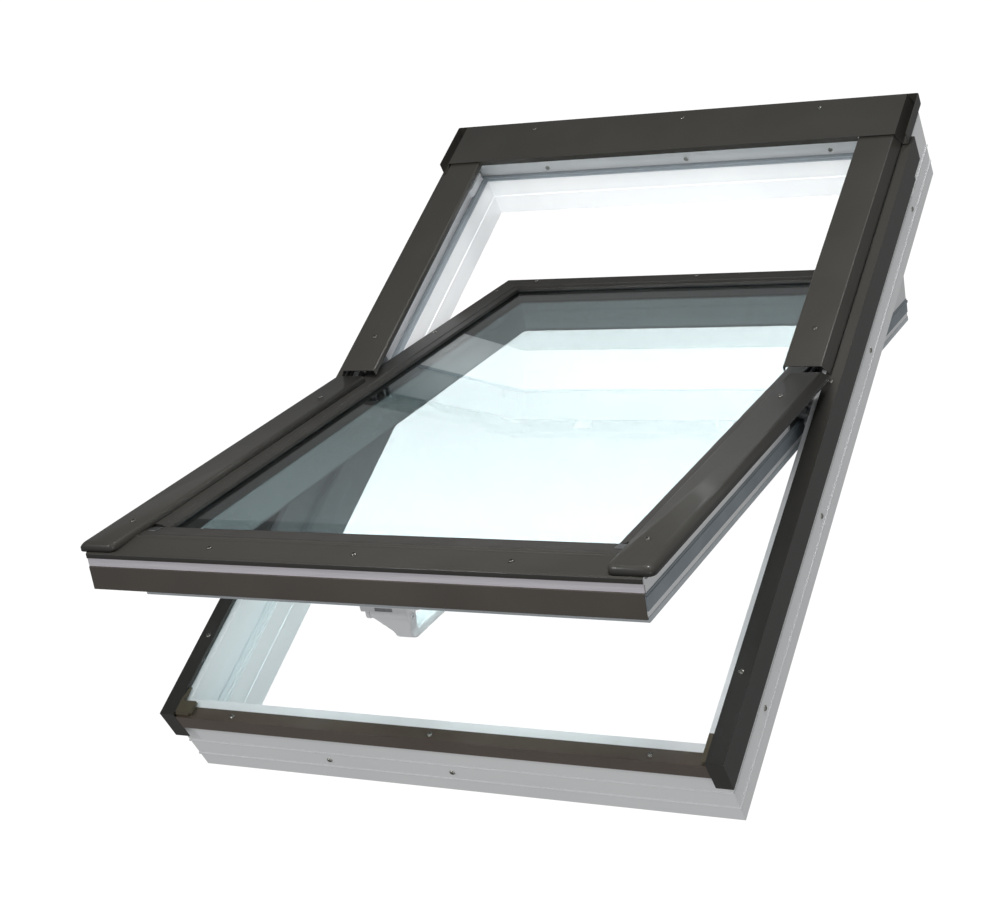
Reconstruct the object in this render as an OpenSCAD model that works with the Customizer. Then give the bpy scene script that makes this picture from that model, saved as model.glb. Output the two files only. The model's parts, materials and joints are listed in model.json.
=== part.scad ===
// Centre-pivot roof window, shown open: white uPVC frame and sash, dark aluminium cladding.
// X runs across the window, Y up the roof slope, Z outwards from the roof. The origin is at the
// middle of the frame, on the plane of its room-side edge.

/* [Frame] */
// overall width of the plastic frame
frame_w = 780; // [540:1:1400]
// overall length of the plastic frame, up the slope
frame_l = 1180; // [780:1:1600]
// width of a frame member seen from the room
member_w = 40; // [36:0.5:60]
// height of the inner face, up to the sealing ledge
ledge_z = 68; // [50:0.5:90]
// thickness of the upstand outside the sealing ledge
upstand_w = 24; // [18:0.5:30]
// height of the frame profile
frame_h = 119; // [100:0.5:140]
// wall of the plastic profiles
wall_t = 3; // [2:0.1:4]

/* [Cladding] */
// thickness of the aluminium sheets
sheet_t = 1.2; // [0.8:0.1:2]
// how far the cladding stands outside the frame
clad_out = 8; // [4:0.5:15]
// top of the side claddings
side_clad_z = 126; // [122:0.5:140]
// width of the top face of a side cladding
side_clad_w = 22.5; // [15:0.5:30]
// lower edge of the side claddings
clad_low_z = 77; // [60:0.5:95]
// lower edge of the sill cladding
sill_clad_low_z = 97; // [80:0.5:110]
// top of the upper side covers
upper_cover_z = 145; // [140:0.5:160]
// inner edge of the upper side covers, from the middle
upper_cover_x = 320; // [200:0.5:640]
// lower end of the upper side covers
cover_split_y = 24; // [0:0.5:60]
// top of the head cover
head_cover_z = 148.5; // [146:0.5:170]
// depth of the head cover down the slope
head_cover_l = 94; // [60:1:140]

/* [Sash] */
// opening angle as shown
open_deg = 26; // [0:0.5:60]
// gap between the sash and the frame's inner faces
sash_gap = 4; // [3:0.1:8]
// extra gap at the bottom, which the sash swings through
sash_swing_gap = 3; // [3:0.1:10]
// width of a sash member
sash_w = 41; // [36:0.5:60]
// room side of the sash
sash_z = 44; // [30:0.5:55]
// weather side of the sash profile
sash_top_z = 126; // [115:0.5:130]
// weather side of the glass
glass_z = 120; // [110:0.5:124]
// thickness of each pane
pane_t = 4; // [3:0.5:6]
// width of the gap between the panes
pane_gap = 16; // [10:1:20]
// width of the glazing beads
bead_w = 36.5; // [30:0.5:45]
// top of the lower side covers
side_cover_z = 140; // [136:0.5:144]
// half width of the fascia and bottom cover
fascia_x = 374; // [200:0.5:690]
// lower edge of the fascia
fascia_low_z = 79; // [60:0.5:95]

/* [Pivot] */
// pivot axis above the middle of the frame, up the slope
pivot_y = 30; // [0:0.5:60]
// height of the pivot axis
pivot_z = 166.5; // [150:0.5:200]
// radius of the middle of the curved tongue
tongue_r = 80.4; // [70:0.1:95]
// thickness of the curved tongue
tongue_t = 8.8; // [5:0.1:12]
// running clearance of the tongue in its channel
tongue_clear = 0.6; // [0.2:0.1:1.5]

/* [Handle] */
// width of the handle base
handle_base_w = 80; // [60:1:120]
// width of the grip
grip_w = 25; // [18:0.5:35]
// how far the grip stands from the handle base
grip_drop = 54; // [40:1:70]
// length of the grip
grip_len = 109; // [80:1:150]

/* [Hidden] */
fit = 0.3;
hw = frame_w / 2;
hl = frame_l / 2;
inner_x = hw - member_w;
inner_y = hl - member_w;
wall_x = hw - upstand_w;
wall_y = hl - upstand_w;
chamber_top = frame_h - wall_t;
ridge_zs = [24, 54];
clad_x = hw + clad_out;
clad_y = hl + clad_out;
side_clad_in = clad_x - side_clad_w;
clad_top_y = hl - 66;
sill_clad_z = frame_h + fit + sheet_t;
sash_x = inner_x - sash_gap;
sash_yt = inner_y - sash_gap;
sash_yb = -inner_y + sash_gap + sash_swing_gap;
lip_z = glass_z - 2 * pane_t - pane_gap - 1;
bead_in_x = sash_x - bead_w;
bead_in_yt = sash_yt - bead_w;
bead_in_yb = -bead_in_yt - 6.5;
bead_top = sash_top_z + 6;
pane_x = sash_x - 18;
pane_yt = sash_yt - 18;
pane_yb = sash_yb + 18;
cover_in_x = sash_x - 15;
cover_out_x = hw - 3;
cover_low_y = -hl - 13;
bottom_y = -hl - 15.5;
shelf_z = sill_clad_z + 3;
strip_low_z = shelf_z - 13.5;
cover_lip_z = shelf_z - 2.5;
hood_y = clad_y - head_cover_l;
rib_in = tongue_r - tongue_t / 2 - tongue_clear;
rib_out = tongue_r + tongue_t / 2 + tongue_clear;
rib_t = 4;
arc_from = 203;
arc_to = 337;
base_z = sash_z - fit - 7.7;
base_y = sash_yb + 2.7;
knuckle_y = base_y + 14.3;
knuckle_z = base_z - 8;
grip_top = base_z - grip_drop + 12;
shank_r = 1.8;
hole_r = 2;
head_r = 3.8;
head_h = 1.9;

side_screw_ys = [460, 160, -148, -456] * (frame_l / 1180);
front_screw_xs = [-174, 9] * (frame_w / 780);
sill_screw_xs = [-288, 9, 304] * (frame_w / 780);
side_clad_screw_ys = [-466, 14] * (frame_l / 1180);
head_screw_xs = [-244, 18, 244] * (frame_w / 780);
head_face_xs = [-240, 8, 248] * (frame_w / 780);
upper_cover_screw_y = cover_split_y + 73;
cover_screw_ys = [-530, -71] * (frame_l / 1180);
bottom_screw_xs = [-203, 2, 207] * (frame_w / 780);
bead_screw_ys = [484, 259] * (frame_l / 1180);
bead_screw_xs = [-287, 6, 287] * (frame_w / 780);
hinge_frame_pts = [[-78, -74], [78, -74], [-24, -54], [24, -54]];
hinge_sash_pts = [[-63, -66], [63, -66], [-20, -56], [20, -56]];

white = [0.93, 0.93, 0.93];
dark = [0.22, 0.22, 0.2];
rubber = [0.42, 0.45, 0.48];
steel = [0.7, 0.7, 0.72];

// ---- helpers ----

// a 2D shape (x, z) drawn out along Y
module along_y(y0, y1) {
    translate([0, y1, 0]) rotate([90, 0, 0]) linear_extrude(y1 - y0) children();
}

// a 2D shape (y, z) drawn out along X
module along_x(x0, x1) {
    translate([x0, 0, 0]) rotate([90, 0, 90]) linear_extrude(x1 - x0) children();
}

// builds for the right-hand side (1) or mirrors to the left (-1)
module on_side(s) {
    mirror([s < 0 ? 1 : 0, 0, 0]) children();
}

// places what is drawn in the closed sash at the opening angle
module opened() {
    translate([0, pivot_y, pivot_z]) rotate([-open_deg, 0, 0])
        translate([0, -pivot_y, -pivot_z]) children();
}

function seg_n(a, b) = [a[1] - b[1], b[0] - a[0]] / norm(b - a);
function fold_pt(p, i, t) =
    i == 0 ? p[0] + t * seg_n(p[0], p[1]) :
    i == len(p) - 1 ? p[i] + t * seg_n(p[i - 1], p[i]) :
    let (n1 = seg_n(p[i - 1], p[i]), n2 = seg_n(p[i], p[i + 1]))
        p[i] + t * (n1 + n2) / (1 + n1 * n2);

// cross-section of a folded sheet along the points p, thickness t to the left of the path
module folded(p, t) {
    polygon(concat(p, [for (i = [len(p) - 1 : -1 : 0]) fold_pt(p, i, t)]));
}

// plan of one mitred member of a rectangular frame: half width x, from yb to yt, width w
module member_plan(which, x, yb, yt, w) {
    o = 3;
    i = w + 3;
    if (which == "side")
        polygon([[x + o, yb - o], [x + o, yt + o], [x - i, yt - i], [x - i, yb + i]]);
    if (which == "top")
        polygon([[x + o, yt + o], [-x - o, yt + o], [-x + i, yt - i], [x - i, yt - i]]);
    if (which == "bottom")
        polygon([[-x - o, yb - o], [x + o, yb - o], [x - i, yb + i], [-x + i, yb + i]]);
}

// mitred member; the child is the cross-section (distance inwards from the outer face, z)
module mitred(which, x, yb, yt, w) {
    intersection() {
        translate([0, 0, -5]) linear_extrude(220) member_plan(which, x, yb, yt, w);
        if (which == "side")
            mirror([1, 0, 0]) along_y(yb - 3, yt + 3) translate([-x, 0]) children();
        else if (which == "bottom")
            along_x(-x - 3, x + 3) translate([yb, 0]) children();
        else
            mirror([0, 1, 0]) along_x(-x - 3, x + 3) translate([-yt, 0]) children();
    }
}

// rectangular ring between two half widths and four ends
module ring(x_out, yb_out, yt_out, x_in, yb_in, yt_in, z0, z1) {
    translate([0, 0, z0]) linear_extrude(z1 - z0) difference() {
        translate([-x_out, yb_out]) square([2 * x_out, yt_out - yb_out]);
        translate([-x_in, yb_in]) square([2 * x_in, yt_in - yb_in]);
    }
}

// box tube standing for a reinforcement bar, drawn as a cross-section
module tube_section(w, h, t) {
    difference() {
        square([w, h]);
        translate([t, t]) square([w - 2 * t, h - 2 * t]);
    }
}

// pan-head screw along -Z, seated at the origin
module screw(len) {
    difference() {
        union() {
            cylinder(r = head_r, h = head_h);
            translate([0, 0, -len]) cylinder(r = shank_r, h = len + 0.5);
        }
        translate([-2, -0.45, head_h - 1]) cube([4, 0.9, 2]);
        translate([-0.45, -2, head_h - 1]) cube([0.9, 4, 2]);
    }
}

module hole(len) {
    translate([0, 0, -len - 1]) cylinder(r = hole_r, h = len + 2);
}

// ---- where the screws stand ----

module at_side_screws() {
    for (s = [-1, 1], y = side_screw_ys)
        on_side(s) translate([hw, y, 40]) rotate([0, 90, 0]) children();
}

module at_front_screws() {
    for (x = front_screw_xs)
        translate([x, -hl, 40]) rotate([90, 0, 0]) children();
}

module at_sill_screws() {
    for (x = sill_screw_xs)
        translate([x, -hl - clad_out + 9, sill_clad_z]) children();
}

module at_side_clad_screws() {
    for (s = [-1, 1], y = side_clad_screw_ys)
        on_side(s) translate([hw - 5, y, side_clad_z]) children();
}

module at_head_screws() {
    for (x = head_screw_xs)
        translate([x, hl - 9, head_cover_z]) children();
}

module at_head_face_screws() {
    for (x = head_face_xs)
        translate([x, wall_y, 78]) rotate([90, 0, 0]) children();
}

module at_keep_screws() {
    for (x = [-26, 26])
        translate([x, -inner_y + 1.8, base_z + 3.75]) rotate([-90, 0, 0]) children();
}

module at_upper_cover_screws() {
    for (s = [-1, 1])
        on_side(s) translate([upper_cover_x + 29, upper_cover_screw_y, upper_cover_z]) children();
}

module at_frame_hinge_screws(s) {
    on_side(s) for (p = hinge_frame_pts)
        translate([wall_x - fit - 2.7, pivot_y + p[0], pivot_z + p[1]])
            rotate([0, -90, 0]) children();
}

module at_sash_hinge_screws(s) {
    on_side(s) for (p = hinge_sash_pts)
        translate([sash_x + fit + 2.7, pivot_y + p[0], pivot_z + p[1]])
            rotate([0, 90, 0]) children();
}

module at_cover_screws() {
    for (s = [-1, 1], y = cover_screw_ys)
        on_side(s) translate([sash_x + 6, y, side_cover_z]) children();
}

module at_bottom_screws() {
    for (x = bottom_screw_xs)
        translate([x, bottom_y + 25.5, sash_top_z + 4]) children();
}

module bead_screw_holes() {
    at_bead_screws() {
        hole(12);
        cylinder(r = head_r + fit, h = 4);
    }
}

module at_bead_screws() {
    for (s = [-1, 1], y = bead_screw_ys)
        on_side(s) translate([sash_x - 8, y, bead_top - 1.4]) children();
    for (x = bead_screw_xs)
        translate([x, sash_yt - 8, bead_top - 1.4]) children();
}

// ---- frame: white plastic members ----

module frame_section(grooved) {
    difference() {
        union() {
            polygon([[0, 0], [member_w, 0], [member_w, ledge_z], [upstand_w, ledge_z],
                [upstand_w, frame_h], [0, frame_h]]);
            for (z = ridge_zs)
                translate([-1.2, z]) square([3, 2.6]);
        }
        translate([wall_t, wall_t])
            square([member_w - 2 * wall_t, ledge_z - 2 * wall_t]);
        translate([wall_t, ledge_z + 22])
            square([upstand_w - 2 * wall_t, chamber_top - ledge_z - 22]);
        translate([member_w - 1, 36]) square([2, 6]);
        if (grooved)
            translate([upstand_w - 10, ledge_z + 3]) square([20, 15]);
    }
}

module frame_jamb(s) {
    difference() {
        on_side(s) mitred("side", hw, -hl, hl, member_w) frame_section(true);
        at_side_screws() hole(8);
        at_side_clad_screws() hole(22);
        at_frame_hinge_screws(s) hole(12);
    }
}

module frame_jamb_left() {
    color(white) frame_jamb(-1);
}

module frame_jamb_right() {
    color(white) frame_jamb(1);
}

module frame_head() {
    color(white) difference() {
        mitred("top", hw, -hl, hl, member_w) frame_section(false);
        at_head_face_screws() hole(14);
    }
}

module keep_slot(e) {
    translate([-14 - e, -inner_y - 4, base_z + 0.5 - e])
        cube([28 + 2 * e, 8, 6.5 + 2 * e]);
}

module frame_sill() {
    color(white) difference() {
        mitred("bottom", hw, -hl, hl, member_w) frame_section(false);
        at_front_screws() hole(8);
        at_sill_screws() hole(14);
        keep_slot(0.5);
        at_keep_screws() hole(12);
    }
}

// steel bars inside the frame members
module frame_steel_bars() {
    w = member_w - 2 * wall_t - 2 * fit;
    color(steel) for (s = [-1, 1]) {
        on_side(s) along_y(-inner_y + 5, inner_y - 5)
            translate([inner_x + wall_t + fit, wall_t + fit]) tube_section(w, 30, 1.5);
        mirror([0, s < 0 ? 1 : 0, 0]) along_x(-inner_x + 5, inner_x - 5)
            translate([inner_y + wall_t + fit, wall_t + fit]) tube_section(w, 30, 1.5);
    }
}

// grey seal on the ledge, all round
module frame_gasket() {
    color(rubber) union() {
        ring(wall_x - 1, -wall_y + 1, wall_y - 1, inner_x + 1, -inner_y - 1, inner_y + 1,
            ledge_z + 0.05, ledge_z + 2);
        ring(inner_x + 9, -inner_y - 9, inner_y + 9, inner_x + 5, -inner_y - 5, inner_y + 5,
            ledge_z + 1, ledge_z + 4);
    }
}

// grey strip in the groove of each jamb
module groove_strip(s) {
    color(rubber) on_side(s)
        translate([wall_x + 0.2, -wall_y + 1, ledge_z + 3.2])
            cube([9.5, wall_y + inner_y - 45, 14.6]);
}

module groove_strip_left() {
    groove_strip(-1);
}

module groove_strip_right() {
    groove_strip(1);
}

// white end block at the top of each jamb groove
module groove_block(s) {
    color(white) on_side(s) translate([wall_x - 6, inner_y - 36, ledge_z + 3.3]) {
        cube([15.7, 40, 14.4]);
        translate([7.85, 0, 0]) cylinder(r = 7.85, h = 14.4);
    }
}

module groove_block_left() {
    groove_block(-1);
}

module groove_block_right() {
    groove_block(1);
}

// ---- frame: aluminium cladding ----

module side_cladding(s) {
    color(dark) difference() {
        on_side(s) union() {
            along_y(-clad_y, clad_top_y) folded([[side_clad_in, frame_h + fit],
                [side_clad_in, side_clad_z], [clad_x, side_clad_z],
                [clad_x, clad_low_z + 6]], -sheet_t);
            along_y(-clad_y, clad_top_y - 40) translate([clad_x - sheet_t, clad_low_z])
                square([sheet_t, 20]);
            along_y(-clad_y, -clad_y + sheet_t) polygon([[side_clad_in, sill_clad_low_z - 6],
                [side_clad_in, side_clad_z], [clad_x, side_clad_z], [clad_x, clad_low_z],
                [side_clad_in, clad_low_z]]);
        }
        at_side_clad_screws() hole(4);
    }
}

module side_cladding_left() {
    side_cladding(-1);
}

module side_cladding_right() {
    side_cladding(1);
}

module sill_cladding() {
    color(dark) difference() {
        along_x(-side_clad_in + fit, side_clad_in - fit)
            folded([[-clad_y + 2.5, sill_clad_low_z], [-clad_y, sill_clad_low_z],
                [-clad_y, sill_clad_z], [-clad_y + 18.5, sill_clad_z]], -sheet_t);
        at_sill_screws() hole(4);
    }
}

// dark moulded block where the sill cladding meets the left jamb
module corner_block_left() {
    color(dark) translate([-side_clad_in + fit, -clad_y, sill_clad_z + fit]) union() {
        translate([0, 5, 0]) cube([25, 19, 6]);
        translate([0, 3, 0]) cube([21, 3, 4]);
        translate([0, 23.9, 0]) rotate([90, 0, 90]) linear_extrude(4)
            polygon([[0, 0], [24, 0], [24, 2], [4, 6], [0, 6]]);
    }
}

module corner_block_right() {
    color(dark) translate([side_clad_in - fit - 6, -clad_y + 3, sill_clad_z + fit])
        cube([6, 40, 5]);
}

module head_cladding() {
    color(dark) along_x(-side_clad_in + fit, side_clad_in - fit)
        folded([[wall_y + 2, sill_clad_z], [clad_y - 2, sill_clad_z],
            [clad_y - 2, clad_low_z]], -sheet_t);
}

module upper_cover(s) {
    color(dark) difference() {
        on_side(s) along_y(cover_split_y, hl - 30)
            folded([[upper_cover_x, upper_cover_z - 9], [upper_cover_x, upper_cover_z],
                [hw - 16, upper_cover_z], [hw - 7, upper_cover_z - 14],
                [hw - 7, upper_cover_z - 16]], -sheet_t);
        at_upper_cover_screws() hole(4);
    }
}

module upper_cover_left() {
    upper_cover(-1);
}

module upper_cover_right() {
    upper_cover(1);
}

// angle brackets that carry the upper side covers
module upper_cover_brackets() {
    color(white) difference() {
        for (s = [-1, 1])
            on_side(s) translate([0, upper_cover_screw_y - 10, 0]) {
                translate([wall_x + 0.5, 0, frame_h])
                    cube([upstand_w - 17.5, 20, upper_cover_z - sheet_t - frame_h]);
                translate([upper_cover_x + 22, 0, upper_cover_z - sheet_t - 2.6])
                    cube([wall_x - upper_cover_x - 20, 20, 2.6]);
            }
        at_upper_cover_screws() hole(7);
    }
}

module head_cover() {
    drop = head_cover_z - 19;
    color(dark) difference() {
        union() {
            along_y(hood_y, clad_y + 0.5) folded([[-hw - 2.5, head_cover_z - 0.5],
                [-hw - 2.5, drop], [-hw + 4.5, drop], [-hw + 13.5, head_cover_z],
                [hw - 13.5, head_cover_z], [hw - 4.5, drop], [hw + 2.5, drop],
                [hw + 2.5, head_cover_z - 0.5]], -sheet_t);
            translate([-hw - 2.5, clad_y, drop]) cube([2 * hw + 5, sheet_t, 19]);
            translate([-side_clad_in, clad_y, head_cover_z - 44])
                cube([2 * side_clad_in, sheet_t, 30]);
            translate([-upper_cover_x + fit, hood_y, head_cover_z - 9])
                cube([2 * upper_cover_x - 2 * fit, sheet_t, 8.5]);
        }
        at_head_screws() hole(4);
    }
}

// blocks that carry the head cover
module head_cover_blocks() {
    color(white) difference() {
        for (x = head_screw_xs)
            translate([x - 12, hl - 18, sill_clad_z])
                cube([24, 17, head_cover_z - sheet_t - sill_clad_z]);
        at_head_screws() hole(16);
    }
}

// ---- pivot hinges ----

module arc_bar(r0, r1, a0, a1, x0, x1) {
    translate([x0, pivot_y, pivot_z]) rotate([90, 0, 90]) linear_extrude(x1 - x0)
        intersection() {
            difference() {
                circle(r = r1);
                circle(r = r0);
            }
            polygon([[0, 0], 3 * r1 * [cos(a0), sin(a0)], 3 * r1 * [0.9 * cos(a0), -1],
                3 * r1 * [0.9 * cos(a1), -1], 3 * r1 * [cos(a1), sin(a1)]]);
        }
}

// plate on the jamb with two curved ribs that form the channel
module frame_hinge(s) {
    x1 = wall_x - fit;
    color(steel) difference() {
        on_side(s) union() {
            translate([x1 - 2.7, pivot_y - 86, pivot_z - 90]) cube([2.7, 172, 43]);
            arc_bar(rib_in - rib_t, rib_in, arc_from, arc_to, wall_x - 13.5, x1);
            arc_bar(rib_out, rib_out + rib_t, arc_from, arc_to, wall_x - 13.5, x1);
        }
        at_frame_hinge_screws(s) hole(4);
    }
}

module frame_hinge_left() {
    frame_hinge(-1);
}

module frame_hinge_right() {
    frame_hinge(1);
}

// plate on the sash stile with the curved tongue
module sash_hinge(s) {
    x0 = sash_x + fit;
    color(steel) opened() difference() {
        on_side(s) union() {
            translate([x0, pivot_y - 72, pivot_z - 84.4]) cube([2.7, 144, 42]);
            arc_bar(tongue_r - tongue_t / 2, tongue_r + tongue_t / 2, arc_from, arc_to, x0,
                wall_x - fit - 2.7 - tongue_clear);
        }
        at_sash_hinge_screws(s) hole(4);
    }
}

module sash_hinge_left() {
    sash_hinge(-1);
}

module sash_hinge_right() {
    sash_hinge(1);
}

// ---- frame: screws and keep ----

module frame_screws() {
    color(steel) {
        at_side_screws() screw(7);
        at_front_screws() screw(7);
    }
}

module cladding_screws() {
    color(steel) {
        at_sill_screws() screw(13);
        at_side_clad_screws() screw(13);
    }
}

module cover_screws() {
    color(steel) {
        at_head_screws() screw(6);
        at_upper_cover_screws() screw(6);
    }
}

module frame_inner_screws() {
    color(steel) {
        at_head_face_screws() screw(10);
        at_keep_screws() screw(10);
        for (s = [-1, 1])
            at_frame_hinge_screws(s) screw(10);
    }
}

// slotted plate on the sill that takes the latch bolt, with its two screws
module latch_keep() {
    color(steel) difference() {
        translate([-35, -inner_y + fit, base_z - 8]) cube([70, 1.5, 24]);
        keep_slot(0);
        at_keep_screws() hole(12);
    }
}

// ---- sash: white plastic members ----

module sash_section() {
    difference() {
        polygon([[0, sash_z], [sash_w - 6, sash_z], [sash_w, sash_z + 6], [sash_w, lip_z],
            [14, lip_z], [14, sash_top_z], [0, sash_top_z]]);
        translate([4, sash_z + 3]) square([sash_w - 8, lip_z - sash_z - 6.5]);
        translate([-1, sash_z + 14]) square([2.6, 22]);
        translate([-1, sash_z - 1]) square([4, 8.5]);
    }
}

module sash_member(which) {
    mitred(which, sash_x, sash_yb, sash_yt, sash_w) sash_section();
}

module sash_stile(s) {
    color(white) opened() difference() {
        on_side(s) sash_member("side");
        at_sash_hinge_screws(s) hole(10);
        at_bead_screws() hole(12);
    }
}

module sash_stile_left() {
    sash_stile(-1);
}

module sash_stile_right() {
    sash_stile(1);
}

module sash_top_rail() {
    color(white) opened() difference() {
        sash_member("top");
        at_bead_screws() hole(12);
    }
}

module at_handle_screws() {
    for (s = [-1, 1])
        translate([s * (handle_base_w / 2 - 4.6), base_y + 16, base_z])
            rotate([180, 0, 0]) children();
}

module sash_bottom_rail() {
    color(white) opened() difference() {
        sash_member("bottom");
        at_handle_screws() hole(14);
    }
}

// steel bars inside the sash members
module sash_steel_bars() {
    w = sash_w - 8 - 2 * fit;
    z = lip_z - 3.5 - 24 - fit;
    color(steel) opened() {
        for (s = [-1, 1])
            on_side(s) along_y(sash_yb + sash_w + 5, sash_yt - sash_w - 5)
                translate([sash_x - sash_w + 4 + fit, z]) tube_section(w, 24, 1.5);
        for (y = [sash_yb + 4 + fit, sash_yt - sash_w + 4 + fit])
            along_x(-sash_x + sash_w + 5, sash_x - sash_w - 5)
                translate([y, z]) tube_section(w, 24, 1.5);
    }
}

// grey seal in the groove round the edge of the sash
module sash_gasket() {
    color(rubber) opened() union() {
        ring(sash_x + 1, sash_yb - 1, sash_yt + 1, sash_x - 1.4, sash_yb + 1.4, sash_yt - 1.4,
            sash_z + 14.2, sash_z + 35.8);
        ring(sash_x + 2.2, sash_yb - 2.2, sash_yt + 2.2, sash_x, sash_yb, sash_yt,
            sash_z + 29, sash_z + 33);
    }
}

// grey seal on the room-side edge of the sash
module sash_edge_seal() {
    color(rubber) opened() ring(sash_x + 0.8, sash_yb - 0.8, sash_yt + 0.8, sash_x - 2.8,
        sash_yb + 2.8, sash_yt - 2.8, sash_z + 0.3, sash_z + 7.3);
}

// ---- sash: glass ----

module pane(z) {
    translate([-pane_x, pane_yb, z]) cube([2 * pane_x, pane_yt - pane_yb, pane_t]);
}

module outer_pane() {
    color([0.6, 0.75, 0.78, 0.4]) opened() pane(glass_z - pane_t);
}

module inner_pane() {
    color([0.6, 0.75, 0.78, 0.4]) opened() pane(glass_z - 2 * pane_t - pane_gap);
}

module glass_spacer() {
    color([0.1, 0.1, 0.1]) opened() ring(pane_x - 1, pane_yb + 1, pane_yt - 1, pane_x - 14,
        pane_yb + 14, pane_yt - 14, glass_z - pane_t - pane_gap, glass_z - pane_t);
}

module glass_bed_seal() {
    color([0.12, 0.12, 0.12]) opened() ring(pane_x - 2, pane_yb + 2, pane_yt - 2,
        sash_x - sash_w + 3, sash_yb + sash_w - 3, sash_yt - sash_w + 3, lip_z, lip_z + 1);
}

module glass_top_seal() {
    color([0.12, 0.12, 0.12]) opened() ring(pane_x - 2, pane_yb + 2, pane_yt - 2,
        bead_in_x + 1, bead_in_yb - 1, bead_in_yt - 1 + 2, glass_z, glass_z + 1.9);
}

// ---- sash: beads ----

module bead_section() {
    polygon([[0.6, sash_top_z + fit], [14.5, sash_top_z + fit], [14.5, glass_z + 2],
        [bead_w, glass_z + 2], [bead_w, sash_top_z], [bead_w - 9, sash_top_z + 1.4],
        [bead_w - 10, sash_top_z + 3], [2, bead_top], [0.6, bead_top - 1.4]]);
}

module side_bead(s) {
    color(dark) opened() difference() {
        intersection() {
            on_side(s) mitred("side", sash_x, bead_in_yb - 60, sash_yt, bead_w) bead_section();
            translate([-hw, bead_in_yb + fit, 0]) cube([2 * hw, 2 * hl, 300]);
        }
        bead_screw_holes();
    }
}

module side_bead_left() {
    side_bead(-1);
}

module side_bead_right() {
    side_bead(1);
}

module top_bead() {
    color(dark) opened() difference() {
        mitred("top", sash_x, sash_yb, sash_yt, bead_w) bead_section();
        bead_screw_holes();
    }
}

module bottom_bead() {
    e = bead_in_yb;
    z = sash_top_z + fit;
    color(dark) opened() union() {
        along_x(-sash_x + 0.6, sash_x - 0.6)
            polygon([[sash_yb - 6.5, z], [e, z], [e - 7, sash_top_z + 1.4],
                [e - 8, sash_top_z + 3], [sash_yb - 5, bead_top - 0.6],
                [sash_yb - 6.5, bead_top - 2]]);
        translate([-sash_x + 14.5, sash_yb + 14.5, glass_z + 2])
            cube([2 * sash_x - 29, e - sash_yb - 15, z - glass_z - 1.5]);
    }
}

// bright clips where the side beads meet the bottom bead
module bead_clips() {
    y0 = sash_yb + 5;
    y1 = bead_in_yb - 8;
    k = (bead_top - sash_top_z - 3.6) / (bead_in_yb - sash_yb - 3);
    z1 = sash_top_z + 3.05;
    color(steel) opened() for (s = [-1, 1])
        on_side(s) along_x(bead_in_x + 4, bead_in_x + 16)
            polygon([[y0, z1 + k * (y1 - y0)], [y1, z1], [y1, z1 + 1],
                [y0, z1 + 1 + k * (y1 - y0)]]);
}

// ---- sash: covers ----

module side_cover(s) {
    flange_z = bead_top + 0.6;
    color(dark) opened() difference() {
        on_side(s) union() {
            along_y(cover_low_y, cover_split_y - 2) folded([[cover_in_x, flange_z],
                [cover_in_x, side_cover_z], [cover_out_x - 9, side_cover_z],
                [cover_out_x, side_cover_z - 8], [cover_out_x, side_clad_z + 2.5]], -sheet_t);
            along_y(cover_low_y, cover_low_y + sheet_t) polygon([[cover_in_x, flange_z - 3],
                [cover_in_x, side_cover_z], [cover_out_x - 9, side_cover_z],
                [cover_out_x, side_cover_z - 8], [cover_out_x, flange_z - 3]]);
        }
        at_cover_screws() hole(4);
    }
}

module side_cover_left() {
    side_cover(-1);
}

module side_cover_right() {
    side_cover(1);
}

// angle brackets that carry the lower side covers
module side_cover_brackets() {
    color(steel) opened() difference() {
        for (s = [-1, 1], y = cover_screw_ys)
            on_side(s) translate([sash_x + fit, y - 10, 0]) {
                translate([0, 0, sash_top_z - 30])
                    cube([2, 20, side_cover_z - sheet_t - sash_top_z + 30]);
                translate([0, 0, side_cover_z - sheet_t - 2]) cube([15, 20, 2]);
            }
        at_cover_screws() hole(6);
    }
}

module bottom_cover() {
    y0 = sash_yb - 7;
    z = sash_top_z + 2.4;
    color(dark) opened() difference() {
        union() {
            along_x(-fascia_x, fascia_x) folded([[y0, z + 0.4], [y0, z + 3],
                [y0 - 4, z + 2.8], [y0 - 5, z + 3.8], [y0 - 8, z + 3.7], [y0 - 9, z + 2.6],
                [bottom_y + 2, z], [bottom_y, z - 1.8], [bottom_y, cover_lip_z]], sheet_t);
            for (rib = [[y0 - 20, z + 1.4], [bottom_y + 12, z]])
                translate([-inner_x, rib[0], shelf_z + 2.5])
                    cube([2 * inner_x, 1.5, rib[1] - shelf_z - 2.5]);
        }
        at_bottom_screws() hole(6);
    }
}

// silver shelf profile that carries the bottom cover and the fascia
module silver_strip() {
    color(steel) opened() difference() {
        union() {
            along_x(-inner_x, inner_x) union() {
                translate([sash_yb - 3.3, shelf_z - 22]) square([3, 24.4]);
                translate([bottom_y + 2, shelf_z]) square([sash_yb - fit - bottom_y - 2, 2.4]);
            }
            along_x(-fascia_x, fascia_x)
                translate([bottom_y + sheet_t, strip_low_z]) square([2, 15.9]);
        }
        at_bottom_screws() hole(14);
    }
}

module fascia() {
    t = strip_low_z - fit;
    color(dark) opened() along_x(-fascia_x, fascia_x) union() {
        translate([bottom_y, fascia_low_z]) square([sheet_t, t - fascia_low_z]);
        translate([bottom_y, t - sheet_t]) square([4.6, sheet_t]);
        translate([bottom_y + 3.4, t - sheet_t]) square([sheet_t, 10]);
        translate([bottom_y, fascia_low_z]) square([3, sheet_t]);
    }
}

// ---- sash: screws ----

module sash_screws() {
    color(steel) opened() {
        at_cover_screws() screw(9);
        at_bottom_screws() screw(9);
        at_bead_screws() screw(9);
    }
}

module sash_hinge_screws() {
    color(steel) opened() for (s = [-1, 1])
        at_sash_hinge_screws(s) screw(8);
}

// ---- handle and latch ----

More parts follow.
